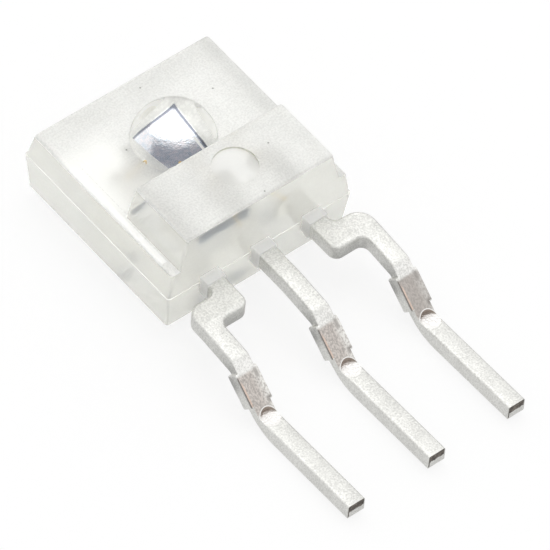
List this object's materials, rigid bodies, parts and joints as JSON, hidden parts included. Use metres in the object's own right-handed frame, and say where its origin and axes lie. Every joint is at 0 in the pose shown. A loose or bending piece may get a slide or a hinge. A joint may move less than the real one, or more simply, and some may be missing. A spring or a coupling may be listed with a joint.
{
  "type": "ambient light sensor",
  "caption": "Small clear moulded light sensor with a domed lens, a thicker lead end and stepped flat leads whose feet solder to a board.",
  "frame": {"origin": "centre of the body's back face, on the axis of the middle lead", "axes": "+Z from the back face towards the lens, -Y along the leads to their feet, +X across the leads"},
  "size_m": [0.0046, 0.0101, 0.0026],
  "materials": {
    "resin": "clear epoxy, fine matt on its front faces, lens polished",
    "tin": "matt tin plating on copper alloy",
    "silver_paste": "silver-filled adhesive",
    "silicon": "polished silicon",
    "gold": "bright gold wire"
  },
  "bodies": {
    "root": {"resin_body": "resin", "lead_ground": "tin", "lead_supply": "tin", "lead_output": "tin", "die_attach": "silver_paste", "sensor_chip": "silicon", "wire_ground": "gold", "wire_supply": "gold", "wire_output": "gold"}
  },
  "joints": []
}
